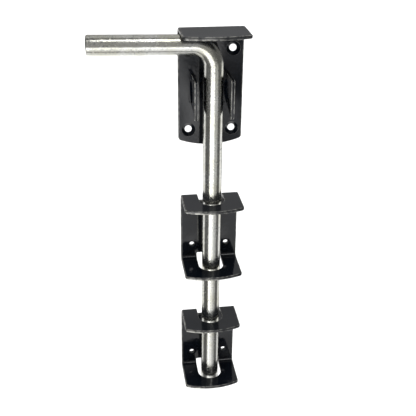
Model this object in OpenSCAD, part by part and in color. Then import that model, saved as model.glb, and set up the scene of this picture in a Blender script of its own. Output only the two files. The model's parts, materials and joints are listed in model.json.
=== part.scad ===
// Drop bolt for a gate or shed door: a bent round bar, a top bracket with a
// roof and two stops for the handle arm, and two channel guides.
// +Z is up along the bar and -Y points away from the gate. The back faces of
// all brackets lie in the plane Y = 0, and the origin is the middle of the top
// bracket's four screws.

/* [Steel strip] */
// Thickness of the strip that the brackets are bent from
strip_t = 3; // [2:0.5:4]
// Inside radius of every bend in the strip
bend_r = 3; // [2:0.5:4]
// Radius rolled onto the two long edges of the strip
edge_r = 0.9; // [0.4:0.1:0.9]
// Radius at the corners of the cut ends
corner_r = 3; // [2:0.5:5]
// Distance from the gate to the nose of the roof and of every flange
flange_depth = 40; // [36:1:50]

/* [Top bracket] */
// Width of the top bracket
plate_w = 53; // [50:1:64]
// Height of the top bracket, from its roof to the lowest point of its plate
plate_h = 98.5; // [96:0.5:110]
// How far the plate's lower edge bows down
plate_bow = 5; // [3:0.5:8]
// How far the roof's front edge bows out
roof_bow = 4.2; // [2:0.1:6]
// Screw spacing across the plate
screw_dx = 36; // [34:0.5:38]
// Distance from the top of the roof to the upper screws
screw_top = 18; // [16:0.5:20]
// Distance from the lowest point of the plate to the lower screws
screw_foot = 13.5; // [12:0.5:16]
// Diameter of the screw clearance holes
screw_d = 5.8; // [5.6:0.1:7]
// Diameter of the countersinks
sink_d = 11.4; // [9:0.1:11.6]

/* [Handle stops] */
// Clearance of the arm on each side, where it drops between the two stops
stop_play = 5; // [3:0.5:6]
// Thickness of a stop
stop_t = 3; // [2.5:0.5:4]
// Height of a stop
stop_h = 32; // [26:1:36]
// Distance from the top of the roof to the top of the stops
stop_top = 38; // [30:1:42]
// Radius on a stop's upper front corner
stop_r = 3; // [1:0.5:5]
// Flat lower end of a stop's nose
stop_nose = 2; // [1:0.5:4]
// How far the lower edge of a stop sweeps up from its nose to its root
stop_rise = 6.5; // [3:0.5:8]
// Length of a stop's upper foot on the plate
stop_head = 5; // [3:0.5:8]
// Length of a stop's lower foot on the plate
stop_foot = 1.5; // [1:0.5:6]

/* [Bar] */
// Diameter of the round bar
bar_d = 16; // [12:0.5:17]
// Distance from the gate to the middle of the upright bar
bar_out = 17; // [16:0.5:19]
// Radius of the bar's bend, to the middle of the bar
elbow_r = 16; // [12:0.5:22]
// Length of the handle arm, from the middle of the upright bar to its end
arm_len = 97.5; // [60:0.5:140]
// Gap between the arm and the roof
arm_gap = 0.3; // [0.2:0.1:2]
// Gap between the parked arm's end and the gate
gate_gap = 0.5; // [0.2:0.1:2]
// Bevel on the end of the arm
arm_bevel = 0.8; // [0.4:0.1:2]
// Length of the bar below the bottom guide
tail = 6; // [2:0.5:40]
// Bevel on the lower end of the bar
tip_bevel = 1.5; // [0.4:0.1:4]

/* [Guides] */
// Width of a guide
guide_w = 50; // [44:1:60]
// Height of a guide
guide_h = 67; // [60:1:80]
// How far a guide's front edges bow out
guide_bow = 5.2; // [3:0.1:7]
// Clearance of the bar on each side, in the guides' round-ended slots
slot_play = 2.75; // [0.5:0.25:3.5]
// How far a slot climbs into the web past the bend
slot_over = 1.5; // [0.5:0.5:4]
// Screw spacing across a guide
guide_dx = 30.5; // [28:0.5:34]
// Distance from a guide's ends to its screws
guide_edge = 17; // [15:0.5:20]
// Diameter of the screw holes in a guide
guide_hole_d = 4.2; // [4:0.1:5.6]
// Distance from the top of the roof to the top of the middle guide
middle_drop = 143.5; // [130:0.5:150]
// Distance from the top of the roof to the top of the bottom guide
bottom_drop = 263; // [255:0.5:300]

/* [Hidden] */
$fn = 96;
// Overrun of a cut past the face it leaves
cut = 1;
// Outer radius of every bend in the strip
fold_r = bend_r + strip_t;
// Screw spacing down the plate
screw_dz = plate_h - screw_top - screw_foot;
// Heights above the origin
roof_z = screw_top + screw_dz / 2;
middle_z = roof_z - middle_drop;
bottom_z = roof_z - bottom_drop;
arm_z = roof_z - strip_t - arm_gap - bar_d / 2;
stop_z = roof_z - stop_top - stop_h / 2;
tail_z = bottom_z - guide_h - tail;
// The stops and the slots follow the bar
stop_gap = bar_d + 2 * stop_play;
stop_reach = bar_out + bar_d / 2;
slot_w = bar_d + 2 * slot_play;
// Radius of the half-round relief between a stop's two feet
relief_r = (stop_h - stop_rise - stop_head - stop_foot) / 2;
slot_rise = fold_r + slot_over;
// The parked arm leans back until its end is close to the gate
arm_turn = asin((bar_out - bar_d / 2 - gate_gap) / arm_len);
// Colours
black = [0.10, 0.10, 0.11];
zinc = [0.78, 0.79, 0.77];

// Cross-section of the rolled strip: back face on y = 0, front face above it
module strip_section(w) {
    translate([-w / 2 + edge_r, 0]) square([w - 2 * edge_r, strip_t]);
    translate([-w / 2, edge_r]) square([w, strip_t - 2 * edge_r]);
    for (x = [-1, 1], y = [edge_r, strip_t - edge_r])
        translate([x * (w / 2 - edge_r), y]) circle(edge_r);
}

// Strip bent once: a web that hangs h below z = 0 with its back face on y = 0,
// and a flange at the top that runs forward to flange_depth
module angle_strip(w, h) {
    translate([0, 0, -h]) mirror([0, 1, 0]) linear_extrude(h - fold_r) strip_section(w);
    translate([0, -fold_r, -fold_r]) rotate([90, 0, 90]) rotate_extrude(angle = 90)
        translate([fold_r, 0]) rotate(90) strip_section(w);
    translate([0, -fold_r, 0]) rotate([90, 0, 0]) mirror([0, 1, 0])
        linear_extrude(flange_depth - fold_r) strip_section(w);
}

// Outline with sides at x = -w/2 and w/2 up to y = 0, closed below by a bowed
// edge whose middle is at y = -reach, with corners rounded to r
module bowed_end(w, reach, bow, r) {
    bow_r = (w * w / 4 + bow * bow) / (2 * bow);
    mid_y = bow_r - reach;
    corner_x = w / 2 - r;
    corner_y = mid_y - sqrt(pow(bow_r - r, 2) - corner_x * corner_x);
    // Angle at the middle of the bow between its lowest point and a corner
    lean = asin(corner_x / (bow_r - r));
    waste = 3 * r;
    difference() {
        intersection() {
            translate([0, mid_y]) circle(bow_r, $fn = 2 * $fn);
            translate([-w / 2, -reach - cut]) square([w, reach + 2 * cut]);
        }
        for (m = [0, 1]) mirror([m, 0]) translate([corner_x, corner_y]) difference() {
            polygon([[0, 0], [waste, 0], [waste, -waste], [waste * tan(lean), -waste]]);
            circle(r);
        }
    }
}

// Screw holes through a web, at the corners of a rectangle around the origin,
// countersunk where sink is larger than d
module four_holes(dx, dz, d, sink) {
    depth = (sink - d) / 2;
    for (x = [-dx / 2, dx / 2], z = [-dz / 2, dz / 2])
        translate([x, 0, z]) rotate([90, 0, 0]) {
            translate([0, 0, -cut]) cylinder(d = d, h = strip_t + 2 * cut);
            if (sink > d)
                translate([0, 0, strip_t - depth])
                    cylinder(d1 = d, d2 = sink + 2 * cut, h = depth + cut);
        }
}

// The plate with its roof, which keeps the bar from being lifted out
module top_bracket() {
    color(black) difference() {
        intersection() {
            translate([0, 0, roof_z]) angle_strip(plate_w, plate_h);
            translate([0, 0, roof_z - plate_h - cut]) linear_extrude(plate_h + 2 * cut)
                bowed_end(plate_w, flange_depth, roof_bow, corner_r);
            translate([0, cut, roof_z]) rotate([90, 0, 0]) linear_extrude(flange_depth + 2 * cut)
                bowed_end(plate_w, plate_h, plate_bow, corner_r);
        }
        four_holes(screw_dx, screw_dz, screw_d, sink_d);
    }
}

// Side view of a stop: x is the distance from the gate, y is up
module stop_outline() {
    half = stop_h / 2;
    depth = stop_reach - strip_t;
    run = depth - stop_nose;
    sweep_r = (run * run + stop_rise * stop_rise) / (2 * stop_rise);
    difference() {
        union() {
            translate([strip_t, -half]) square([depth - stop_r, stop_h]);
            translate([strip_t, -half]) square([depth, stop_h - stop_r]);
            translate([stop_reach - stop_r, half - stop_r]) circle(stop_r);
        }
        translate([strip_t, half - stop_head - relief_r]) circle(relief_r);
        translate([strip_t, stop_rise - half - sweep_r]) circle(sweep_r, $fn = 2 * $fn);
    }
}

// A stop stands on the plate with its left face at x. The arm swings above the
// stops, drops between them when it points forward, and locks below them.
module stop(x) {
    color(black) translate([x + stop_t, 0, stop_z]) rotate([90, 0, -90])
        linear_extrude(stop_t) stop_outline();
}

module left_stop() { stop(-stop_gap / 2 - stop_t); }

module right_stop() { stop(stop_gap / 2); }

// Plan of the slot that lets the bar through a flange, open at the web
module slot_plan() {
    translate([0, -bar_out]) circle(d = slot_w);
    translate([-slot_w / 2, -bar_out]) square([slot_w, bar_out + cut]);
}

// A channel bent from strip, slotted through both flanges and their bends
module guide(top_z) {
    color(black) translate([0, 0, top_z - guide_h / 2]) difference() {
        intersection() {
            for (m = [0, 1]) mirror([0, 0, m])
                translate([0, 0, guide_h / 2]) angle_strip(guide_w, guide_h / 2);
            translate([0, 0, -guide_h / 2 - cut]) linear_extrude(guide_h + 2 * cut)
                bowed_end(guide_w, flange_depth, guide_bow, corner_r);
        }
        for (m = [0, 1]) mirror([0, 0, m])
            translate([0, 0, guide_h / 2 - slot_rise]) linear_extrude(slot_rise + cut) slot_plan();
        four_holes(guide_dx, guide_h - 2 * guide_edge, guide_hole_d, 0);
    }
}

module middle_guide() { guide(middle_z); }

module bottom_guide() { guide(bottom_z); }

// Straight round bar from z = 0 up to z = h, with its upper end bevelled
module bevelled_bar(h, bevel) {
    r = bar_d / 2;
    cylinder(r = r, h = h - bevel);
    translate([0, 0, h - bevel]) cylinder(r1 = r, r2 = r - bevel, h = bevel);
}

// Round bar bent once: upright, elbow and handle arm
module bolt_bar() {
    elbow_z = arm_z - elbow_r;
    color(zinc) translate([0, -bar_out, 0]) rotate([0, 0, -arm_turn]) {
        translate([0, 0, elbow_z]) rotate([180, 0, 0]) bevelled_bar(elbow_z - tail_z, tip_bevel);
        translate([-elbow_r, 0, elbow_z]) rotate([90, 0, 0])
            rotate_extrude(angle = 90) translate([elbow_r, 0]) circle(bar_d / 2);
        translate([-elbow_r, 0, arm_z]) rotate([0, -90, 0])
            bevelled_bar(arm_len - elbow_r, arm_bevel);
    }
}

bolt_bar();
top_bracket();
left_stop();
right_stop();
middle_guide();
bottom_guide();
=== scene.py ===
"""Looks of a drop bolt: gloss black strip brackets around a zinc-plated round bar.

The brackets and stops are blanks with rounded edges, folded or stood in place. The bar and the
weld beads are round sections that a Geometry Nodes tree sweeps. Lengths are in metres.
"""

import json
import logging
import math
from dataclasses import dataclass, field
from enum import Enum
from typing import Callable, NamedTuple, Sequence

import bmesh
import bpy
import numpy as np
from mathutils import Matrix, Vector
from mathutils.geometry import tessellate_polygon


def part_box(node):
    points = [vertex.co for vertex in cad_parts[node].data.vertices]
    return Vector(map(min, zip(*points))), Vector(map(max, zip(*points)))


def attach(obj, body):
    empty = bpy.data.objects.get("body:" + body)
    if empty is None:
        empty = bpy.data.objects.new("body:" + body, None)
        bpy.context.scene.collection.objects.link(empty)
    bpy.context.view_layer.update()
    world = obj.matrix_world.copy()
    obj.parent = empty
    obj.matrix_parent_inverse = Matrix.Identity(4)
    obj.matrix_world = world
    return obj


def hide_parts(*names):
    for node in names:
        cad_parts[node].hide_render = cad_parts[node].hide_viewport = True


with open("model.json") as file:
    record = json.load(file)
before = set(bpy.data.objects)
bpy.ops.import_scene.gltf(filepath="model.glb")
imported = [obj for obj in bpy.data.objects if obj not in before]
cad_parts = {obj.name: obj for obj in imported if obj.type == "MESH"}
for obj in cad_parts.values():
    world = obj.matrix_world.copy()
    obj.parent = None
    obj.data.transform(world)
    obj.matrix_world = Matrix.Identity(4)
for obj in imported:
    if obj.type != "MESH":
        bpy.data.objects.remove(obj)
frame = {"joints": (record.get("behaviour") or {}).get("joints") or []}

MM = 0.001
QUARTER = math.pi / 2
WHITE = (1.0, 1.0, 1.0, 1.0)
log = logging.getLogger("drop_bolt")

Socket = bpy.types.NodeSocket
Colour = tuple[float, float, float, float]
Ring = list[bmesh.types.BMVert]
# The points of a line, each with its share of the radius that is swept along it.
Line = list[tuple[tuple[float, float, float], float]]
# Takes a point and a normal of a flat blank to their places in the frame.
Place = Callable[[Vector, Vector], tuple[Vector, Vector]]


class Body(Enum):
    """The rigid bodies that pieces ride on."""

    GATE_SIDE = "gate_side"
    BOLT = "bolt"
    MIDDLE_GUIDE = "middle_guide"
    BOTTOM_GUIDE = "bottom_guide"


class Slot(Enum):
    """The record's material slots."""

    BLACK = "black_paint"
    ZINC = "zinc_bar"


class Stop(Enum):
    """The stops, by the CAD nodes that they stand for."""

    LEFT = "left_stop"
    RIGHT = "right_stop"


# Node trees


@dataclass(frozen=True)
class Grain:
    """A noise: cells per metre, octaves and how strong the fine ones are.

    The stretch scales it along each axis, under 1 to draw it out. The shift moves it, in metres.
    """

    scale: float
    detail: float = 3.0
    roughness: float = 0.5
    stretch: tuple[float, float, float] = (1.0, 1.0, 1.0)
    shift: tuple[float, float, float] = (0.0, 0.0, 0.0)


@dataclass(frozen=True)
class Ramp:
    """A smooth step that turns low..high into to_low..to_high."""

    low: float
    high: float
    to_low: float = 0.0
    to_high: float = 1.0


@dataclass
class Nodes:
    """A short way to write a node tree."""

    tree: bpy.types.NodeTree

    def feed(self, node: bpy.types.Node, inputs: dict[str | int, object]) -> None:
        """Sets or links inputs of a node.

        Args:
            node: the node.
            inputs: values or output sockets by the input's name or index.
        """
        for key, value in inputs.items():
            if isinstance(value, Socket):
                self.tree.links.new(value, node.inputs[key])
            else:
                node.inputs[key].default_value = value

    def add(self, kind: str, inputs: dict[str | int, object] | None = None,
            **settings: object) -> bpy.types.Node:
        """Adds a node.

        Args:
            kind: the node's type name.
            inputs: values or output sockets by the input's name or index.
            settings: the node's own properties.

        Returns:
            The new node.
        """
        node = self.tree.nodes.new(kind)
        for name, value in settings.items():
            setattr(node, name, value)
        self.feed(node, inputs or {})
        return node

    def math(self, operation: str, *values: object, clamp: bool = False) -> Socket:
        """Adds a Math node.

        Args:
            operation: the Math node's operation.
            values: numbers or sockets, in order.
            clamp: keeps the result between 0 and 1.

        Returns:
            Its output.
        """
        return self.add("ShaderNodeMath", dict(enumerate(values)), operation=operation,
                        use_clamp=clamp).outputs[0]

    def noise(self, where: Socket, grain: Grain) -> Socket:
        """Adds a noise on given coordinates.

        Args:
            where: the coordinates, in metres.
            grain: the noise.

        Returns:
            Its output, from 0 to 1.
        """
        mapped = self.add("ShaderNodeMapping", {"Vector": where, "Location": grain.shift,
                                                "Scale": grain.stretch})
        return self.add("ShaderNodeTexNoise", {
            "Vector": mapped.outputs[0], "Scale": grain.scale, "Detail": grain.detail,
            "Roughness": grain.roughness}).outputs[0]

    def ramp(self, value: Socket, ramp: Ramp) -> Socket:
        """Adds a smooth Map Range.

        Args:
            value: what it maps.
            ramp: from and to where.

        Returns:
            Its output.
        """
        return self.add("ShaderNodeMapRange", {
            "Value": value, "From Min": ramp.low, "From Max": ramp.high, "To Min": ramp.to_low,
            "To Max": ramp.to_high}, interpolation_type="SMOOTHSTEP").outputs[0]

    def blend(self, share: Socket, first: Socket | Colour, second: Socket | Colour) -> Socket:
        """Adds a colour mix.

        Args:
            share: the second colour's share.
            first: the first colour.
            second: the second colour.

        Returns:
            The mixed colour.
        """
        # The colour sockets of a Mix node are its inputs 6 and 7 and its output 2.
        mixed = self.add("ShaderNodeMix", {0: share, 6: first, 7: second}, data_type="RGBA")
        return mixed.outputs[2]

    def bump(self, height: Socket, distance: float, strength: float = 1.0,
             base: Socket | None = None) -> Socket:
        """Adds a Bump node.

        Args:
            height: the relief.
            distance: how far it rises, in metres.
            strength: how strongly it shows.
            base: the normal that it builds on, or None for that of the mesh.

        Returns:
            The normal.
        """
        made = self.add("ShaderNodeBump", {"Height": height, "Distance": distance,
                                           "Strength": strength})
        if base is not None:
            self.feed(made, {"Normal": base})
        return made.outputs[0]


def new_material(name: str) -> tuple[bpy.types.Material, Nodes, bpy.types.Node]:
    """Makes a material with one Principled shader.

    Args:
        name: the material's name.

    Returns:
        The material, its tree and the shader node.
    """
    material = bpy.data.materials.new(name)
    material.use_nodes = True
    shader = material.node_tree.nodes["Principled BSDF"]
    return material, Nodes(material.node_tree), shader


# Finishes

# Per-vertex weight of the painted highlight on rounded edges.
SHEET_EDGE = "sheet_edge"
SWEEP_FLOW = "sweep_flow"


@dataclass(frozen=True)
class GlossBlack:
    """Stoved black enamel over pressed steel: deep gloss, with a painted highlight on the edges.

    The painted highlight, a pale colour in patches on the rounded edges, is strongest along the
    lower edges of what lies flat. Dust and a slight cloud dull the enamel, its face has orange
    peel, and the steel under it is a little uneven.
    """

    colour: Colour = (0.0028, 0.0040, 0.0066, 1.0)
    dusty: Colour = (0.0085, 0.0095, 0.0112, 1.0)
    # Painted highlight: the pale colour laid on rounded edges in place of glints.
    painted_glint_colour: Colour = (0.62, 0.61, 0.56, 1.0)
    ior: float = 1.5
    cloud: Grain = Grain(60.0, 4.0)
    cloud_dust: Ramp = Ramp(0.40, 0.75)
    cloud_dull: Ramp = Ramp(0.3, 0.8, 0.0, 0.5)
    haze: Grain = Grain(900.0, 3.0, 0.65)
    haze_dust: Ramp = Ramp(0.50, 0.78)
    dust_dull: float = 0.5
    roughness: Ramp = Ramp(0.0, 1.0, 0.06, 0.15)
    # Break the painted edge highlight into patches, and set how strong it is.
    patch: Grain = Grain(260.0, 4.0, 0.6)
    patch_glint: Ramp = Ramp(0.36, 0.66, 0.15, 1.0)
    glint_strength: float = 0.48
    peel: Grain = Grain(420.0, 1.5)
    wave: Grain = Grain(70.0, 1.0)
    wave_share: float = 3.0
    peel_height: float = 0.04 * MM
    peel_strength: float = 0.8
    press: Grain = Grain(30.0, 0.0, shift=(14.6 * MM, 26.1 * MM, 17.3 * MM))
    press_height: float = 1.8 * MM

    def material(self) -> bpy.types.Material:
        """Builds the enamel.

        Returns:
            Its material.
        """
        material, nodes, shader = new_material("gloss_black_enamel")
        where = nodes.add("ShaderNodeTexCoord").outputs["Object"]
        cloud = nodes.noise(where, self.cloud)
        haze = nodes.ramp(nodes.noise(where, self.haze), self.haze_dust)
        dust = nodes.math("MULTIPLY", nodes.ramp(cloud, self.cloud_dust), haze)
        coat = nodes.blend(dust, self.colour, self.dusty)
        # Painted highlight: the pale colour goes onto rounded edges by their weight, in patches.
        edge = nodes.add("ShaderNodeAttribute", attribute_name=SHEET_EDGE).outputs["Fac"]
        patches = nodes.ramp(nodes.noise(where, self.patch), self.patch_glint)
        most = nodes.math("MULTIPLY", patches, self.glint_strength)
        glint_mask = nodes.math("MULTIPLY", edge, most, clamp=True)
        dull = nodes.math("MULTIPLY_ADD", dust, self.dust_dull, nodes.ramp(cloud, self.cloud_dull))
        wave = nodes.noise(where, self.wave)
        relief = nodes.math("MULTIPLY_ADD", wave, self.wave_share, nodes.noise(where, self.peel))
        steel = nodes.bump(nodes.noise(where, self.press), self.press_height)
        nodes.feed(shader, {
            "Base Color": nodes.blend(glint_mask, coat, self.painted_glint_colour),
            "Roughness": nodes.ramp(dull, self.roughness),
            "IOR": self.ior,
            "Normal": nodes.bump(relief, self.peel_height, self.peel_strength, steel)})
        return material


@dataclass(frozen=True)
class ZincPlate:
    """Bright zinc plating on drawn bar: warm grey, mottled, with faint draw lines.

    Fine pits are stained grey, more in some stretches than in others.
    """

    pale: Colour = (0.80, 0.80, 0.76, 1.0)
    warm: Colour = (0.70, 0.69, 0.60, 1.0)
    grey: Colour = (0.34, 0.36, 0.37, 1.0)
    cloud: Grain = Grain(55.0, 3.0)
    cloud_warm: Ramp = Ramp(0.35, 0.68)
    pit: Grain = Grain(760.0, 3.0, 0.6)
    pit_stain: Ramp = Ramp(0.50, 0.68)
    zone: Grain = Grain(38.0, 2.0)
    zone_stain: Ramp = Ramp(0.40, 0.64, 0.15, 1.0)
    mottle: Grain = Grain(420.0, 5.0, 0.62)
    mottle_dull: float = 0.65
    mottle_height: float = 1.2
    draw: Grain = Grain(1500.0, 2.0, 0.6, stretch=(1.0, 1.0, 0.015))
    draw_dull: float = 0.35
    draw_height: float = 0.6
    roughness: Ramp = Ramp(0.3, 0.7, 0.13, 0.30)
    height: float = 0.045 * MM
    strength: float = 0.9

    def material(self) -> bpy.types.Material:
        """Builds the plating.

        Returns:
            Its material.
        """
        material, nodes, shader = new_material("zinc_plate")
        where = nodes.add("ShaderNodeTexCoord").outputs["Object"]
        flow = nodes.add("ShaderNodeAttribute", attribute_name=SWEEP_FLOW).outputs["Vector"]
        warmth = nodes.ramp(nodes.noise(where, self.cloud), self.cloud_warm)
        tone = nodes.blend(warmth, self.pale, self.warm)
        pits = nodes.noise(where, self.pit)
        zone = nodes.ramp(nodes.noise(where, self.zone), self.zone_stain)
        stain = nodes.math("MULTIPLY", nodes.ramp(pits, self.pit_stain), zone)
        mottle, lines = nodes.noise(where, self.mottle), nodes.noise(flow, self.draw)
        dull = nodes.math("MULTIPLY_ADD", lines, self.draw_dull,
                          nodes.math("MULTIPLY", mottle, self.mottle_dull))
        relief = nodes.math("MULTIPLY_ADD", mottle, self.mottle_height,
                            nodes.math("MULTIPLY_ADD", lines, self.draw_height, pits))
        nodes.feed(shader, {
            "Base Color": nodes.blend(stain, tone, self.grey),
            "Metallic": 1.0,
            "Roughness": nodes.ramp(dull, self.roughness),
            "Normal": nodes.bump(relief, self.height, self.strength)})
        return material


@dataclass(frozen=True)
class PaleFloor:
    """Plain pale floor, without gloss."""

    colour: Colour = (0.9, 0.9, 0.9, 1.0)
    roughness: float = 0.9
    specular: float = 0.0

    def material(self) -> bpy.types.Material:
        """Builds the floor's paint.

        Returns:
            Its material.
        """
        material, nodes, shader = new_material("pale_floor")
        nodes.feed(shader, {"Base Color": self.colour, "Roughness": self.roughness,
                            "Specular IOR Level": self.specular})
        return material


# Blanks with rounded edges

TOUCHING = 1e-7
CUT_REACH = 1e-8
FLAT_NORMAL = "flat_normal"


@dataclass(frozen=True)
class Arc:
    """One rounded corner of an outline. It turns left where the material is convex.

    Straight stretches join the end of one arc to the start of the next. The radius of the rim
    goes evenly from rim_start to rim_end.
    """

    centre: tuple[float, float]
    radius: float
    start: float
    end: float
    steps: int
    rim_start: float
    rim_end: float

    def turn(self) -> int:
        """1 for a convex corner of the material, -1 for a concave one or a hole."""
        return 1 if self.end > self.start else -1

    def at(self, angle: float) -> Vector:
        """The arc's point at an angle."""
        return Vector(self.centre) + self.radius * Vector((math.cos(angle), math.sin(angle)))


class OutlinePoint(NamedTuple):
    """A point of an outline: its arc, its angle on the arc and the rim's radius there."""

    arc: Arc
    angle: float
    rim: float


def outline_points(arcs: Sequence[Arc]) -> list[OutlinePoint]:
    """Lists an outline's points, once each where one arc runs straight into the next.

    Args:
        arcs: the outline's corners, in order.

    Returns:
        The points, in order.
    """
    found = []
    for arc, after in zip(arcs, [*arcs[1:], arcs[0]]):
        runs_on = (arc.at(arc.end) - after.at(after.start)).length < TOUCHING
        for k in range(arc.steps if runs_on else arc.steps + 1):
            share = k / arc.steps
            angle = arc.start + (arc.end - arc.start) * share
            rim = arc.rim_start + (arc.rim_end - arc.rim_start) * share
            found.append(OutlinePoint(arc, angle, rim))
    return found


class RimRow(NamedTuple):
    """One row of points along an edge, on its way from the outer to the inner face.

    It holds the inset from the outline, the height above the outer face, the normal's parts
    outwards and through the sheet, and how near the middle of a rounding the row is.
    """

    inset: float
    height: float
    out: float
    up: float
    mid: float


@dataclass(frozen=True)
class PlainRim:
    """An edge whose two corners are rounded alike."""

    thickness: float
    steps: int = 4

    def rows(self, r: float) -> list[RimRow]:
        """Lists the edge's rows.

        Args:
            r: the radius of its roundings.

        Returns:
            The rows, from the outer face to the inner one.
        """
        found = []
        for k in range(self.steps + 1):
            a = QUARTER * (1 - k / self.steps)
            c, up = math.cos(a), math.sin(a)
            found.append(RimRow(r - r * c, r - r * up, c, -up, math.sin(math.pi * k / self.steps)))
        return found + [row._replace(height=self.thickness - row.height, up=-row.up)
                        for row in found[::-1]]


@dataclass(frozen=True)
class SunkRim:
    """The edge of a countersunk hole: a short bore, a 45 degree cone and a softened mouth.

    The roundings at the bore's ends have the radius soft.
    """

    thickness: float
    depth: float
    soft: float
    steps: int = 3

    def rows(self, r: float) -> list[RimRow]:
        """Lists the edge's rows.

        Args:
            r: the radius of the rounding at the cone's mouth.

        Returns:
            The rows, from the bore to the cone's mouth.
        """
        slope = QUARTER / 2
        tangent, soft = math.tan(slope / 2), self.soft
        arcs = ((soft, soft, -QUARTER, 0.0, soft),
                (soft, self.thickness - self.depth - soft * tangent, 0.0, slope, soft),
                (self.depth + r * tangent, self.thickness - r, slope, QUARTER, r))
        found = []
        for inset, height, first, last, radius in arcs:
            for k in range(self.steps + 1):
                a = first + (last - first) * k / self.steps
                c, up = math.cos(a), math.sin(a)
                found.append(RimRow(inset - radius * c, height + radius * up, c, up,
                                    math.sin(math.pi * k / self.steps) * radius / r))
        return found


@dataclass(frozen=True)
class LowerEdgeGlint:
    """A painted highlight on the lower corners of a level flange's end: a pale colour in place of
    glints.

    It lies between two depths, each from 0 in the middle of the sheet to 1 on its lower face.
    It is strongest on the left, and weakest on the right.
    """

    most: float = 2.2
    run: float = 24.0 * MM
    middle: float = 0.5
    least: float = 0.15
    shallow: float = 0.4
    deep: float = 0.99

    def glint_at(self, x: float, depth: float, out: float) -> float:
        """How strong the painted highlight is at a point of a rounded edge.

        Args:
            x: where the point lies across the sheet.
            depth: how low it lies in the sheet.
            out: how squarely the edge faces along the blank's length, from 0 to 1.

        Returns:
            A weight, 0 where no highlight is painted.
        """
        if not self.shallow < depth < self.deep:
            return 0.0
        return self.most * out * min(1.0, max(self.least, self.middle - x / self.run))


@dataclass
class Sheet:
    """A flat blank with rounded edges and holes, which is then put in place or folded."""

    name: str
    thickness: float
    # How strong the painted highlight is on the middle of each rounding, and on lower corners.
    glint_strength: float = 0.7
    lower_glint: LowerEdgeGlint = LowerEdgeGlint()
    loops: list[tuple[list[OutlinePoint], PlainRim | SunkRim]] = field(default_factory=list)

    def add_loop(self, arcs: Sequence[Arc], rim: PlainRim | SunkRim | None = None) -> None:
        """Adds the outer outline first, then each hole.

        Args:
            arcs: the corners, anticlockwise for the outline and clockwise for a hole.
            rim: how its edge is rounded, or None for the plain way.
        """
        self.loops.append((outline_points(arcs), rim or PlainRim(self.thickness)))

    def add_hole(self, x: float, s: float, radius: float, rim_r: float, steps: int,
                 rim: SunkRim | None = None) -> None:
        """Adds a round hole at (x, s) with that radius, rim radius and number of sides."""
        self.add_loop([Arc((x, s), radius, 0.0, -2 * math.pi, steps, rim_r, rim_r)], rim)

    def edge_glint_weight(self, at: Vector, row: RimRow, out: float, place: Place) -> float:
        """How strong the painted highlight is at a point of the outer outline.

        Args:
            at: the point on the blank.
            row: its row of the rim.
            out: how squarely the edge faces along the blank's length, from 0 to 1.
            place: takes the blank to its place.

        Returns:
            The weight of the painted highlight, on the middle of roundings and on lower corners.
        """
        up = place(at, Vector((0.0, 0.0, 1.0)))[1].z
        depth = up * (1 - 2 * at.z / self.thickness)
        return max(row.mid * self.glint_strength, self.lower_glint.glint_at(at.x, depth, out))

    def build_wall(self, bm: bmesh.types.BMesh, loop: int, place: Place) -> tuple[Ring, Ring]:
        """Builds the edge along one outline, between the sheet's two faces.

        Args:
            bm: the mesh.
            loop: the outline's number, 0 for the outer one.
            place: takes the blank to its place.

        Returns:
            The ring of points on the outer face and that on the inner face.
        """
        normal = bm.verts.layers.float_vector[FLAT_NORMAL]
        edge = bm.verts.layers.float[SHEET_EDGE]
        points, rim = self.loops[loop]
        rings = []
        for rows in zip(*(rim.rows(point.rim) for point in points)):
            ring = []
            for (arc, angle, _), row in zip(points, rows):
                turn, r = arc.turn(), arc.radius - row.inset * arc.turn()
                c, s = math.cos(angle), math.sin(angle)
                vert = bm.verts.new((arc.centre[0] + r * c, arc.centre[1] + r * s, row.height))
                vert[normal] = Vector((row.out * c * turn, row.out * s * turn, row.up))
                # The weight of the painted edge highlight at this point.
                vert[edge] = (row.mid * self.glint_strength if loop
                              else self.edge_glint_weight(vert.co, row, abs(s), place))
                ring.append(vert)
            rings.append(ring)
        for low, high in zip(rings, rings[1:]):
            for k in range(len(low)):
                j = (k + 1) % len(low)
                bm.faces.new((low[k], low[j], high[j], high[k]))
        return rings[0], rings[-1]

    def build(self, cuts: Sequence[float], place: Place) -> bpy.types.Object:
        """Builds the mesh.

        Args:
            cuts: distances along the blank's second axis that get an edge across the sheet.
            place: takes the blank to its place.

        Returns:
            The new object, at the origin.
        """
        bm = bmesh.new()
        normal = bm.verts.layers.float_vector.new(FLAT_NORMAL)
        bm.verts.layers.float.new(SHEET_EDGE)
        walls = [self.build_wall(bm, loop, place) for loop in range(len(self.loops))]
        for rings in zip(*walls):
            flat = [vert for ring in rings for vert in ring]
            for triple in tessellate_polygon([[vert.co for vert in ring] for ring in rings]):
                bm.faces.new([flat[k] for k in triple])
        for s in cuts:
            bmesh.ops.bisect_plane(bm, geom=bm.verts[:] + bm.edges[:] + bm.faces[:],
                                   plane_co=(0, s, 0), plane_no=(0, 1, 0), dist=CUT_REACH)
        for vert in bm.verts:
            vert.co, vert[normal] = place(vert.co, vert[normal].normalized())
        bmesh.ops.recalc_face_normals(bm, faces=bm.faces[:])
        if bm.calc_volume(signed=True) < 0:
            bmesh.ops.reverse_faces(bm, faces=bm.faces[:])
        normals = [vert[normal][:] for vert in bm.verts]
        bm.verts.layers.float_vector.remove(normal)
        mesh = bpy.data.meshes.new(self.name)
        bm.to_mesh(mesh)
        bm.free()
        mesh.shade_smooth()
        mesh.normals_split_custom_set_from_vertices(normals)
        return new_object(self.name, mesh)


def new_object(name: str, data: bpy.types.ID) -> bpy.types.Object:
    """Makes an object of the scene for some data.

    Args:
        name: the object's name.
        data: its mesh, curve, light or camera.

    Returns:
        The object.
    """
    made = bpy.data.objects.new(name, data)
    bpy.context.scene.collection.objects.link(made)
    return made


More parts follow.
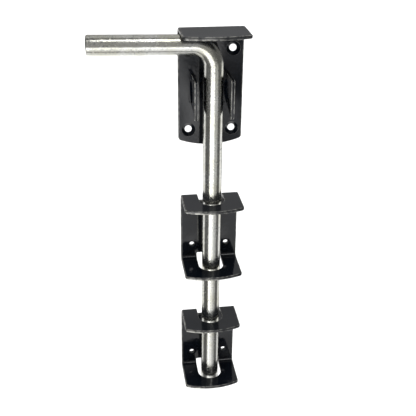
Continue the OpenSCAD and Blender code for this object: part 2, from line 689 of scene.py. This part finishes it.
def put_on(piece: bpy.types.Object, material: bpy.types.Material, body: Body, slot: Slot,
           *nodes: str) -> bpy.types.Object:
    """Dresses a finished piece and puts it on its body.

    Args:
        piece: the object, with its place in its mesh.
        material: its finish.
        body: the body it rides on.
        slot: the record's slot for its finish; not used.
        nodes: the CAD nodes that it stands for.

    Returns:
        The piece.
    """
    piece.data.materials.clear()
    piece.data.materials.append(material)
    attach(piece, body.value)
    if nodes:
        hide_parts(*nodes)
    return piece


# Brackets, stops and guides


@dataclass
class FoldPath:
    """The outer face of a folded strip in the YZ plane, from its first end to its last."""

    start: tuple[float, float]
    legs: Sequence[float]
    fold_r: float
    bend_len: float

    def cuts(self, steps: int) -> list[float]:
        """Distances along the strip where its bends need an edge across the sheet.

        Args:
            steps: segments of each bend.

        Returns:
            The distances, in order.
        """
        found, s = [], 0.0
        for leg in self.legs[:-1]:
            s += leg
            found += [s + self.bend_len * k / steps for k in range(steps + 1)]
            s += self.bend_len
        return found

    def at(self, s: float) -> tuple[np.ndarray, np.ndarray, np.ndarray]:
        """The strip's place at a distance.

        Args:
            s: the distance along the strip.

        Returns:
            The point on the outer face, the direction of travel and the direction to the inner
            face, each as (Y, Z).
        """
        point, heading = np.array(self.start, float), 0.0
        for k, leg in enumerate(self.legs):
            along = np.array([math.cos(heading), math.sin(heading)])
            inner = np.array([along[1], -along[0]])
            if s <= leg or k == len(self.legs) - 1:
                return point + along * s, along, inner
            point, s = point + along * leg, s - leg
            centre = point + inner * self.fold_r
            turned = heading - QUARTER * min(s / self.bend_len, 1.0)
            along = np.array([math.cos(turned), math.sin(turned)])
            inner = np.array([along[1], -along[0]])
            point = centre - inner * self.fold_r
            if s <= self.bend_len:
                return point, along, inner
            heading, s = turned, s - self.bend_len
        raise ValueError("the strip has no legs")

    def place(self, point: Vector, normal: Vector) -> tuple[Vector, Vector]:
        """Folds a flat blank.

        Args:
            point: a point of the blank: across, along and through it.
            normal: its normal, in the same axes.

        Returns:
            The point and its normal in the frame.
        """
        spot, along, inner = self.at(point.y)
        at = spot + inner * point.z
        way = along * normal.y + inner * normal.z
        return Vector((point.x, at[0], at[1])), Vector((normal.x, way[0], way[1]))


@dataclass(frozen=True)
class Standing:
    """The place of a blank that stands upright on the plate, edge to the front."""

    x: float
    z: float

    def place(self, point: Vector, normal: Vector) -> tuple[Vector, Vector]:
        """Stands a flat blank up.

        Args:
            point: a point of the blank: its distance from the gate, its height and its depth.
            normal: its normal, in the same axes.

        Returns:
            The point and its normal in the frame.
        """
        return (Vector((self.x + point.z, -point.x, self.z + point.y)),
                Vector((normal.z, -normal.x, normal.y)))


@dataclass
class Strip:
    """The steel strip that the brackets are pressed from."""

    thickness: float = 3.0 * MM
    bend_r: float = 3.0 * MM
    corner_r: float = 3.0 * MM
    long_rim: float = 1.2 * MM
    cut_rim: float = 0.7 * MM
    bend_steps: int = 12
    corner_steps: int = 8
    bow_steps: int = 28

    @property
    def fold_r(self) -> float:
        """Outer radius of a bend."""
        return self.bend_r + self.thickness

    @property
    def bend_len(self) -> float:
        """Length of a quarter bend, along the middle of the strip."""
        return QUARTER * (self.bend_r + self.thickness / 2)

    def outline(self, width: float, length: float, first_bow: float, last_bow: float) -> list[Arc]:
        """The outline of a strip with two bowed ends.

        Args:
            width: the strip's width.
            length: its length between the middles of its ends.
            first_bow: how far the end at 0 bows out.
            last_bow: how far the end at length bows out.

        Returns:
            The outline's corners, anticlockwise.
        """
        arcs, corner_r, rim = [], self.corner_r, self.cut_rim
        for sign, bow in ((-1, first_bow), (1, last_bow)):
            bow_r = (width * width / 4 + bow * bow) / (2 * bow)
            x = width / 2 - corner_r
            drop = math.sqrt((bow_r - corner_r) ** 2 - x * x)
            lean = math.atan2(x, drop)
            middle = bow_r if sign < 0 else length - bow_r
            corner = middle + sign * drop
            ahead = sign * QUARTER
            arcs += [
                Arc((sign * x, corner), corner_r, ahead - QUARTER, ahead - lean,
                    self.corner_steps, self.long_rim, rim),
                Arc((0.0, middle), bow_r, ahead - lean, ahead + lean, self.bow_steps, rim, rim),
                Arc((-sign * x, corner), corner_r, ahead + lean, ahead + QUARTER,
                    self.corner_steps, rim, self.long_rim),
            ]
        return arcs


@dataclass
class TopBracket:
    """The screwed plate with its roof over the bar's elbow."""

    strip: Strip
    finish: bpy.types.Material
    node: str = "top_bracket"
    plate_bow: float = 5.0 * MM
    roof_bow: float = 4.2 * MM
    screw_dx: float = 36.0 * MM
    screw_dz: float = 67.0 * MM
    screw_d: float = 5.8 * MM
    sink_d: float = 11.4 * MM
    sink_rim: float = 0.3 * MM
    sink_steps: int = 48
    bore_soft: float = 0.06 * MM
    # A weaker painted highlight on the lower corners of the bracket's ends.
    lower_glint: LowerEdgeGlint = LowerEdgeGlint(most=1.2)

    def build(self) -> list[bpy.types.Object]:
        """Builds and dresses the bracket.

        Returns:
            Its one piece.
        """
        low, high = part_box(self.node)
        strip = self.strip
        roof = -low.y - strip.fold_r
        plate = high.z - low.z - strip.fold_r
        path = FoldPath((low.y, high.z), (roof, plate), strip.fold_r, strip.bend_len)
        length = roof + strip.bend_len + plate
        sheet = Sheet("top_bracket_plate", strip.thickness, lower_glint=self.lower_glint)
        sheet.add_loop(strip.outline(high.x - low.x, length, self.roof_bow, self.plate_bow))
        rim = SunkRim(strip.thickness, (self.sink_d - self.screw_d) / 2, self.bore_soft)
        from_bend = length - plate - strip.fold_r + high.z
        for x in (-self.screw_dx / 2, self.screw_dx / 2):
            for z in (-self.screw_dz / 2, self.screw_dz / 2):
                sheet.add_hole(x, from_bend - z, self.screw_d / 2, self.sink_rim,
                               self.sink_steps, rim)
        piece = sheet.build(path.cuts(strip.bend_steps), path.place)
        return [put_on(piece, self.finish, Body.GATE_SIDE, Slot.BLACK, self.node)]


@dataclass
class HandleStops:
    """The two upright stops on the plate.

    Each has a half-round relief between its two feet, and its lower edge sweeps down from the
    root to the nose. A weld bead joins its upper foot to the plate on either side.
    """

    strip: Strip
    finish: bpy.types.Material
    corner_r: float = 3.0 * MM
    nose_r: float = 1.5 * MM
    nose: float = 2.0 * MM
    rise: float = 6.5 * MM
    head: float = 5.0 * MM
    foot: float = 1.5 * MM
    foot_r: float = 0.6 * MM
    foot_rim: float = 0.5 * MM
    rim: float = 0.8 * MM
    # The stops' edges get a stronger painted highlight.
    glint_strength: float = 1.7
    corner_steps: int = 8
    foot_steps: int = 4
    lip_steps: int = 5
    relief_steps: int = 14
    sweep_steps: int = 16
    weld_r: float = 0.9 * MM
    weld_pitch: float = 1.1 * MM
    weld_ripple: float = 0.08
    weld_swell: float = 1.04
    weld_steps: int = 28
    weld_sides: int = 16

    def relief(self, height: float) -> tuple[float, float]:
        """The relief's height above the stop's middle, and its radius, for a stop's height."""
        radius = (height - self.rise - self.head - self.foot) / 2
        return height / 2 - self.head - radius, radius

    def outline(self, reach: float, height: float) -> list[Arc]:
        """The side view of a stop: the distance from the gate, then the height.

        Args:
            reach: the front edge's distance from the gate.
            height: the stop's height.

        Returns:
            The outline's corners, anticlockwise.
        """
        base, half, r, q = self.strip.thickness, height / 2, self.corner_r, self.foot_r
        rim, low_rim = self.rim, self.foot_rim
        middle, relief_r = self.relief(height)
        far = relief_r + q
        rise = math.sqrt(far * far - q * q)
        lean = math.atan2(rise, q)
        run = reach - base - self.nose
        sweep_r = (run * run + self.rise * self.rise) / (2 * self.rise)
        pivot = self.rise - half - sweep_r
        tip_x = reach - self.nose_r
        tip_angle = math.acos((tip_x - base) / (sweep_r + self.nose_r))
        tip_z = pivot + (sweep_r + self.nose_r) * math.sin(tip_angle)
        root_angle = math.acos(q / (sweep_r + q))
        root_z = pivot + (sweep_r + q) * math.sin(root_angle)
        corner, foot, lip = self.corner_steps, self.foot_steps, self.lip_steps
        hollow = self.relief_steps
        return [
            Arc((tip_x, tip_z), self.nose_r, tip_angle - math.pi, 0.0, corner, rim, rim),
            Arc((reach - r, half - r), r, 0.0, QUARTER, corner, rim, rim),
            Arc((base + q, half - q), q, QUARTER, math.pi, foot, low_rim, low_rim),
            Arc((base + q, middle + rise), q, math.pi, math.pi + lean, lip, low_rim, low_rim),
            Arc((base, middle), relief_r, lean, 0.0, hollow, low_rim, rim),
            Arc((base, middle), relief_r, 0.0, -lean, hollow, rim, low_rim),
            Arc((base + q, middle - rise), q, math.pi - lean, math.pi, lip, low_rim, low_rim),
            Arc((base + q, root_z), q, math.pi, math.pi + root_angle, foot, low_rim, low_rim),
            Arc((base, pivot), sweep_r, root_angle, tip_angle, self.sweep_steps, low_rim, rim),
        ]

    def seam(self, x: float, y: float, low: float, high: float) -> Line:
        """The middle line of a weld bead, full along its run and drawn in at its two ends.

        Args:
            x: where the bead lies across the plate.
            y: where it lies in depth.
            low: its lower end's height.
            high: its upper end's height.

        Returns:
            The bead's points, each with its share of the bead's radius.
        """
        shares = [k / self.weld_steps for k in range(self.weld_steps + 1)]
        return [((x, y, low + (high - low) * share),
                 math.sqrt(self.weld_swell - abs(2 * share - 1) ** 3)) for share in shares]

    def build(self) -> list[bpy.types.Object]:
        """Builds and dresses both stops and their welds.

        Returns:
            The pieces.
        """
        pieces, seams = [], []
        for stop in Stop:
            low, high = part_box(stop.value)
            sheet = Sheet(f"{stop.value}_plate", high.x - low.x, self.glint_strength)
            sheet.add_loop(self.outline(-low.y, high.z - low.z))
            piece = sheet.build((), Standing(low.x, (low.z + high.z) / 2).place)
            pieces.append(put_on(piece, self.finish, Body.GATE_SIDE, Slot.BLACK, stop.value))
            seams += [self.seam(x, high.y, high.z - self.head + self.foot_rim,
                                high.z - self.foot_rim) for x in (low.x, high.x)]
        welds = sweep("stop_welds", seams, self.weld_r, self.weld_sides, self.finish,
                      self.weld_ripple, self.weld_pitch)
        pieces.append(put_on(welds, self.finish, Body.GATE_SIDE, Slot.BLACK))
        return pieces


@dataclass
class Guides:
    """The two channel guides, slotted for the bar."""

    strip: Strip
    finish: bpy.types.Material
    bar_out: float
    bow: float = 5.2 * MM
    slot_w: float = 21.5 * MM
    slot_over: float = 1.5 * MM
    slot_corner: float = 0.8 * MM
    slot_steps: int = 40
    corner_steps: int = 5
    screw_dx: float = 30.5 * MM
    edge: float = 17.0 * MM
    hole_d: float = 4.2 * MM
    hole_rim: float = 0.3 * MM
    hole_steps: int = 40

    def slot(self, centre: float, end: float, way: int) -> list[Arc]:
        """The slot through one flange and its bend.

        Args:
            centre: where its round end's centre lies along the strip.
            end: where its square end lies, in the web.
            way: 1 where the web lies further along the strip, or -1.

        Returns:
            The slot's corners, clockwise.
        """
        half, q, rim = self.slot_w / 2, self.slot_corner, self.strip.cut_rim
        turn, steps = 0.0 if way > 0 else math.pi, self.corner_steps
        x, near = way * (half - q), end - way * q
        return [
            Arc((-x, near), q, math.pi - turn, QUARTER - turn, steps, rim, rim),
            Arc((x, near), q, QUARTER - turn, -turn, steps, rim, rim),
            Arc((0.0, centre), half, -turn, -turn - math.pi, self.slot_steps, rim, rim),
        ]

    def build_one(self, body: Body) -> bpy.types.Object:
        """Builds and dresses one guide.

        Args:
            body: the body it rides on, which has the name of the CAD node that it stands for.

        Returns:
            The piece.
        """
        node, strip = body.value, self.strip
        low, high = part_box(node)
        flange = -low.y - strip.fold_r
        web = high.z - low.z - 2 * strip.fold_r
        path = FoldPath((low.y, high.z), (flange, web, flange), strip.fold_r, strip.bend_len)
        length = 2 * (flange + strip.bend_len) + web
        sheet = Sheet(f"{node}_channel", strip.thickness)
        sheet.add_loop(strip.outline(high.x - low.x, length, self.bow, self.bow))
        centre = -low.y - self.bar_out
        end = flange + strip.bend_len + self.slot_over
        sheet.add_loop(self.slot(centre, end, 1))
        sheet.add_loop(self.slot(length - centre, length - end, -1))
        spread = (high.z - low.z) / 2 - self.edge
        for x in (-self.screw_dx / 2, self.screw_dx / 2):
            for s in (length / 2 - spread, length / 2 + spread):
                sheet.add_hole(x, s, self.hole_d / 2, self.hole_rim, self.hole_steps)
        piece = sheet.build(path.cuts(strip.bend_steps), path.place)
        return put_on(piece, self.finish, body, Slot.BLACK, node)

    def build(self) -> list[bpy.types.Object]:
        """Builds both guides and returns them."""
        return [self.build_one(body) for body in (Body.MIDDLE_GUIDE, Body.BOTTOM_GUIDE)]


# Round sections swept along a line

SWEEP_TREE = "round_sweep"
SHARP_DEGREES = 35


def sweep_tree() -> bpy.types.NodeTree:
    """Builds the Geometry Nodes tree that sweeps a round section along each spline.

    The section follows the radius of the spline's points, and can swell in ripples. The sweep
    keeps a vector of where each point lies around and along the run, in metres.

    Returns:
        The node group, with named inputs.
    """
    tree = bpy.data.node_groups.new(SWEEP_TREE, "GeometryNodeTree")
    inputs = {"Line": "Geometry", "Radius": "Float", "Sides": "Int", "Ripple": "Float",
              "Ripple pitch": "Float", "Finish": "Material"}
    for name, kind in inputs.items():
        tree.interface.new_socket(name, in_out="INPUT", socket_type=f"NodeSocket{kind}")
    tree.interface.new_socket("Mesh", in_out="OUTPUT", socket_type="NodeSocketGeometry")
    nodes = Nodes(tree)
    given = nodes.add("NodeGroupInput").outputs
    along = nodes.add("GeometryNodeSplineParameter").outputs["Length"]
    turns = nodes.math("DIVIDE", along, given["Ripple pitch"])
    wave = nodes.math("SINE", nodes.math("MULTIPLY", turns, 2 * math.pi))
    swell = nodes.math("MULTIPLY_ADD", wave, given["Ripple"], 1.0)
    size = nodes.add("GeometryNodeInputRadius").outputs[0]
    kept = nodes.add("GeometryNodeCaptureAttribute", {"Geometry": given["Line"]}, domain="POINT")
    kept.capture_items.new("FLOAT", "Run")
    nodes.feed(kept, {"Run": along})
    ring = nodes.add("GeometryNodeCurvePrimitiveCircle",
                     {"Resolution": given["Sides"], "Radius": given["Radius"]})
    ring_at = nodes.add("GeometryNodeCaptureAttribute", {"Geometry": ring.outputs["Curve"]},
                        domain="POINT")
    ring_at.capture_items.new("VECTOR", "Around")
    nodes.feed(ring_at, {"Around": nodes.add("GeometryNodeInputPosition").outputs[0]})
    swept = nodes.add("GeometryNodeCurveToMesh", {
        "Curve": kept.outputs["Geometry"], "Profile Curve": ring_at.outputs["Geometry"],
        "Scale": nodes.math("MULTIPLY", size, swell), "Fill Caps": True})
    around = nodes.add("ShaderNodeSeparateXYZ", {"Vector": ring_at.outputs["Around"]}).outputs
    flow = nodes.add("ShaderNodeCombineXYZ",
                     {"X": around["X"], "Y": around["Y"], "Z": kept.outputs["Run"]})
    stored = nodes.add("GeometryNodeStoreNamedAttribute", {
        "Geometry": swept.outputs["Mesh"], "Name": SWEEP_FLOW, "Value": flow.outputs[0]},
        data_type="FLOAT_VECTOR", domain="POINT")
    real = nodes.add("GeometryNodeRealizeInstances", {"Geometry": stored.outputs["Geometry"]})
    dressed = nodes.add("GeometryNodeSetMaterial",
                        {"Geometry": real.outputs["Geometry"], "Material": given["Finish"]})
    nodes.add("NodeGroupOutput", {"Mesh": dressed.outputs["Geometry"]})
    return tree


def sweep(name: str, lines: Sequence[Line], radius: float, sides: int,
          finish: bpy.types.Material, ripple: float = 0.0, pitch: float = 1.0) -> bpy.types.Object:
    """Sweeps a round section along lines.

    Args:
        name: the piece's name.
        lines: the middle lines.
        radius: the section's radius.
        sides: sides of the section.
        finish: the piece's material.
        ripple: how far the section swells in each ripple, as a share of its radius.
        pitch: distance between ripples.

    Returns:
        The piece, as a plain mesh at the origin.
    """
    curve = bpy.data.curves.new(f"{name}_line", "CURVE")
    curve.dimensions = "3D"
    for line in lines:
        spline = curve.splines.new("POLY")
        spline.points.add(len(line) - 1)
        for point, (at, share) in zip(spline.points, line):
            point.co, point.radius = (*at, 1.0), share
    source = new_object(f"{name}_line", curve)
    tree = bpy.data.node_groups.get(SWEEP_TREE) or sweep_tree()
    modifier = source.modifiers.new("sweep", "NODES")
    modifier.node_group = tree
    values = {"Radius": radius, "Sides": sides, "Ripple": ripple, "Ripple pitch": pitch,
              "Finish": finish}
    for item in tree.interface.items_tree:
        if item.in_out == "INPUT" and item.name in values:
            modifier[item.identifier] = values[item.name]
    bpy.context.view_layer.update()
    evaluated = source.evaluated_get(bpy.context.evaluated_depsgraph_get())
    mesh = bpy.data.meshes.new_from_object(evaluated)
    mesh.name = name
    bpy.data.objects.remove(source)
    bpy.data.curves.remove(curve)
    mesh.shade_smooth()
    mesh.set_sharp_from_angle(angle=math.radians(SHARP_DEGREES))
    return new_object(name, mesh)


@dataclass
class Bar:
    """The bent bar: bevelled lower end, upright, elbow and handle arm."""

    finish: bpy.types.Material
    axis: Vector
    node: str = "bolt_bar"
    diameter: float = 16.0 * MM
    elbow_r: float = 16.0 * MM
    arm_len: float = 97.5 * MM
    arm_bevel: float = 0.8 * MM
    tip_bevel: float = 1.5 * MM
    gate_gap: float = 0.5 * MM
    soft_r: float = 0.4 * MM
    spacing: float = 4.0 * MM
    bevel_steps: int = 4
    elbow_steps: int = 24
    sides: int = 96

    def bevelled_end(self, bevel: float) -> list[tuple[float, float]]:
        """A bevelled end of the bar, with softened corners.

        Args:
            bevel: the bevel's size.

        Returns:
            Distances from the end, each with the bar's radius there.
        """
        r, soft, half = self.diameter / 2, self.soft_r, QUARTER / 2
        lead = soft * math.tan(half / 2)
        rows = []
        for along, out, first in ((soft, r - bevel - lead, 0.0), (bevel + lead, r - soft, half)):
            for k in range(self.bevel_steps + 1):
                a = first + half * k / self.bevel_steps
                rows.append((along - soft * math.cos(a), out + soft * math.sin(a)))
        return rows

    def straight(self, start: float, end: float) -> list[float]:
        """Even steps from start to end, without the start."""
        count = max(1, round(abs(end - start) / self.spacing))
        return [start + (end - start) * k / count for k in range(1, count + 1)]

    def line(self) -> Line:
        """The bar's middle line, from the lower end to the arm's end.

        Returns:
            Its points, each with its share of the bar's radius.
        """
        low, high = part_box(self.node)
        r, bend = self.diameter / 2, self.elbow_r
        arm_z = high.z - r
        bend_z = arm_z - bend
        tip, knob = self.bevelled_end(self.tip_bevel), self.bevelled_end(self.arm_bevel)
        rows = [((0.0, low.z + d), size) for d, size in tip]
        rows += [((0.0, z), r) for z in self.straight(low.z + tip[-1][0], bend_z)]
        for k in range(1, self.elbow_steps + 1):
            a = QUARTER * k / self.elbow_steps
            rows.append(((bend * (1 - math.cos(a)), bend_z + bend * math.sin(a)), r))
        rows += [((x, arm_z), r) for x in self.straight(bend, self.arm_len - knob[-1][0])]
        rows += [((self.arm_len - d, arm_z), size) for d, size in knob[-2::-1]]
        turn = math.asin((-self.axis.y - r - self.gate_gap) / self.arm_len)
        return [((self.axis.x - out * math.cos(turn), self.axis.y + out * math.sin(turn), z),
                 size / r) for (out, z), size in rows]

    def build(self) -> list[bpy.types.Object]:
        """Builds and dresses the bar, and returns its one piece."""
        piece = sweep("bolt_round_bar", [self.line()], self.diameter / 2, self.sides, self.finish)
        return [put_on(piece, self.finish, Body.BOLT, Slot.ZINC, self.node)]


# Floor, light and camera


@dataclass(frozen=True)
class Glow:
    """A soft bright patch of the studio, by the direction in which it lies.

    It has its full strength within the inner angle and ends at the outer one, in degrees.
    """

    azimuth: float
    elevation: float
    inner: float
    outer: float
    strength: float

    def direction(self) -> Vector:
        """The unit vector towards the patch. Azimuth 0 is -Y, and 90 is +X."""
        a, e = math.radians(self.azimuth), math.radians(self.elevation)
        return Vector((math.sin(a) * math.cos(e), -math.cos(a) * math.cos(e), math.sin(e)))

    def fall(self) -> Ramp:
        """Its light over the cosine of the angle from its middle."""
        return Ramp(math.cos(math.radians(self.outer)), math.cos(math.radians(self.inner)),
                    0.0, self.strength)


@dataclass
class Studio:
    """A pale floor under the part, soft light all round and the camera."""

    stands_under: str = "bolt_bar"
    floor_drop: float = 0.16
    floor_size: float = 12.0
    sun: float = 3.9
    sun_spread: float = 70.0
    sun_tilt: tuple[float, float] = (-8.0, -6.0)
    ambient: float = 0.12
    glows: tuple[Glow, ...] = (
        Glow(-14.0, -33.0, 14.0, 32.0, 0.9),
        Glow(30.0, -27.0, 10.0, 22.0, 0.45),
        Glow(-26.0, -26.0, 5.0, 13.0, 3.0),
        Glow(0.0, -19.5, 3.0, 12.0, 1.2),
        Glow(0.0, 65.0, 3.0, 9.0, 7.0),
        Glow(0.0, 30.0, 20.0, 45.0, 0.20),
        Glow(19.0, 47.0, 3.0, 9.0, 5.0),
        Glow(175.0, 52.0, 16.0, 46.0, 0.36),
        Glow(172.0, 4.0, 8.0, 20.0, 0.09),
        Glow(-126.0, -25.0, 8.0, 26.0, 1.0),
        Glow(109.0, -25.0, 8.0, 24.0, 1.0),
        Glow(180.0, -34.0, 18.0, 36.0, 0.75),
        Glow(180.0, -78.0, 20.0, 40.0, 0.75),
    )
    camera_at: tuple[float, float, float] = (-0.088227, -0.558792, 0.177167)
    yaw: float = 8.92
    pitch: float = -26.801
    roll: float = 0.667
    lens: float = 62.262
    sensor: float = 36.0
    nearest: float = 0.01

    def build(self) -> None:
        """Builds the floor, the lights and the camera."""
        self.build_floor()
        self.build_light()
        self.build_world()
        self.build_camera()

    def build_floor(self) -> None:
        """Lays the floor. Mirror-like reflections don't see it, so the studio shows in them."""
        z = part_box(self.stands_under)[0].z - self.floor_drop
        half = self.floor_size / 2
        corners = [(-half, -half, z), (half, -half, z), (half, half, z), (-half, half, z)]
        mesh = bpy.data.meshes.new("floor")
        mesh.from_pydata(corners, [], [range(len(corners))])
        mesh.materials.append(PaleFloor().material())
        floor = new_object("floor", mesh)
        floor.visible_glossy = False
        floor.visible_shadow = False

    def build_light(self) -> None:
        """Hangs one wide soft light overhead, which the glosses don't mirror."""
        data = bpy.data.lights.new("overhead", "SUN")
        data.energy, data.angle = self.sun, math.radians(self.sun_spread)
        light = new_object("overhead", data)
        light.rotation_euler = (*(math.radians(a) for a in self.sun_tilt), 0.0)
        light.visible_glossy = False

    def build_world(self) -> None:
        """Paints the studio's walls and soft boxes, plain white where the camera sees them."""
        world = bpy.data.worlds.new("studio")
        world.use_nodes = True
        world.node_tree.nodes.clear()
        nodes = Nodes(world.node_tree)
        way = nodes.add("ShaderNodeTexCoord").outputs["Generated"]
        total: Socket | float = self.ambient
        for glow in self.glows:
            facing = nodes.add("ShaderNodeVectorMath", {0: way, 1: glow.direction()},
                               operation="DOT_PRODUCT").outputs["Value"]
            total = nodes.math("ADD", nodes.ramp(facing, glow.fall()), total)
        studio = nodes.add("ShaderNodeBackground", {"Color": WHITE, "Strength": total})
        plain = nodes.add("ShaderNodeBackground", {"Color": WHITE, "Strength": 1.0})
        seen = nodes.add("ShaderNodeLightPath").outputs["Is Camera Ray"]
        mixed = nodes.add("ShaderNodeMixShader",
                          {0: seen, 1: studio.outputs[0], 2: plain.outputs[0]})
        nodes.add("ShaderNodeOutputWorld", {"Surface": mixed.outputs[0]})
        bpy.context.scene.world = world
        bpy.context.scene.view_settings.view_transform = "Standard"

    def build_camera(self) -> None:
        """Stands the camera where the photograph was taken from."""
        yaw, pitch, roll = (math.radians(a) for a in (self.yaw, self.pitch, self.roll))
        ahead = Vector((math.sin(yaw) * math.cos(pitch), math.cos(yaw) * math.cos(pitch),
                        math.sin(pitch)))
        level = Vector((math.cos(yaw), -math.sin(yaw), 0.0))
        above = level.cross(ahead)
        right = level * math.cos(roll) + above * math.sin(roll)
        up = above * math.cos(roll) - level * math.sin(roll)
        turn = Matrix((right, up, -ahead)).transposed()
        data = bpy.data.cameras.new("camera")
        data.lens, data.sensor_width, data.clip_start = self.lens, self.sensor, self.nearest
        camera = new_object("camera", data)
        camera.matrix_world = Matrix.Translation(self.camera_at) @ turn.to_4x4()
        bpy.context.scene.camera = camera


def main() -> None:
    """Builds the studio, then the pieces around the frame, and reports each piece."""
    logging.basicConfig(level=logging.INFO, format="%(name)s %(message)s")
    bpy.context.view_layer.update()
    hinge = next(j for j in frame["joints"] if j["name"] == "handle_swing")
    axis = Vector(hinge["pos_m"])
    black = GlossBlack().material()
    zinc = ZincPlate().material()
    strip = Strip()
    Studio().build()
    for assembly in (Bar(zinc, axis), TopBracket(strip, black), HandleStops(strip, black),
                     Guides(strip, black, -axis.y)):
        for piece in assembly.build():
            log.info("%s of %s: %d faces", piece.name, type(assembly).__name__,
                     len(piece.data.polygons))


if __name__ == "__main__":
    main()
